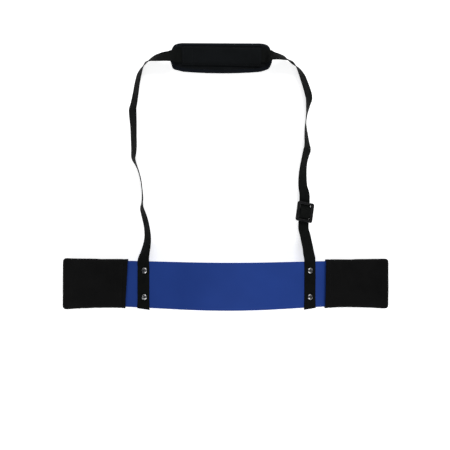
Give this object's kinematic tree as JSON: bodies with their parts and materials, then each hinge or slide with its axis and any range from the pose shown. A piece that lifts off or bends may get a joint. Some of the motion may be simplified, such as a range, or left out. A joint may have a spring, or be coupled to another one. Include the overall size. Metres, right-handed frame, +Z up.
{
  "type": "arm blaster",
  "caption": "Curved metal plate with padded elbow rests at both ends, hung from the neck by a webbing strap with a sliding neck pad and a length adjuster, to hold the elbows still during curls.",
  "frame": {"origin": "On the floor, at the middle of the footprint of the part as it lies on its back with its strap laid out flat.", "axes": "+X runs along the plate towards the end whose strap carries the adjuster, +Y runs from the plate towards the neck pad, and +Z points up, the way the front of the plate faces."},
  "size_m": [0.6388, 0.5258, 0.0769],
  "materials": {
    "plate_enamel": "satin blue lacquer over aluminium sheet",
    "pad_cover": "matt black knitted cover",
    "foam": "closed-cell foam, hidden inside the covers",
    "webbing": "black woven polyester webbing",
    "edge_tape": "black woven edge binding",
    "neck_fabric": "black woven fabric, slightly sheeny",
    "screw_head": "bright domed screw head",
    "zinc_steel": "zinc-plated steel",
    "adjuster_plastic": "moulded black plastic"
  },
  "bodies": {
    "plate": {"elbow_pad_back_foam_left": "foam", "elbow_pad_back_foam_right": "foam", "elbow_pad_front_foam_left": "foam", "elbow_pad_front_foam_right": "foam", "elbow_pad_sleeve_left": "pad_cover", "elbow_pad_sleeve_right": "pad_cover", "nut_left_lower": "zinc_steel", "nut_left_upper": "zinc_steel", "nut_right_lower": "zinc_steel", "nut_right_upper": "zinc_steel", "plate": "plate_enamel", "screw_left_lower": "screw_head", "screw_left_upper": "screw_head", "screw_right_lower": "screw_head", "screw_right_upper": "screw_head", "strap_anchor_left": "webbing", "strap_anchor_right": "webbing", "washer_left_lower": "zinc_steel", "washer_left_upper": "zinc_steel", "washer_right_lower": "zinc_steel", "washer_right_upper": "zinc_steel"},
    "loop": {"strap_left_leg": "webbing", "strap_left_shoulder": "webbing", "strap_neck_run": "webbing", "strap_right_shoulder": "webbing", "strap_right_leg": "webbing"},
    "neck_pad": {"neck_pad_binding": "edge_tape", "neck_pad_cover": "neck_fabric", "neck_pad_foam": "foam", "neck_pad_lining": "neck_fabric", "neck_pad_tunnel": "neck_fabric"},
    "adjuster": {"adjuster_frame": "adjuster_plastic", "adjuster_webbing_turn": "webbing"}
  },
  "joints": [
    {"name": "strap_fold", "type": "hinge", "parent": "plate", "child": "loop", "pos_m": [0, -0.1699, 0.038], "axis": [1, 0, 0], "range_deg": [0, 150]},
    {"name": "neck_pad_slide", "type": "slide", "parent": "loop", "child": "neck_pad", "axis": [1, 0, 0], "range_m": [-0.005, 0.005]},
    {"name": "adjuster_slide", "type": "slide", "parent": "loop", "child": "adjuster", "axis": [0.0294, 0.9996, 0], "range_m": [-0.015, 0.015]}
  ]
}
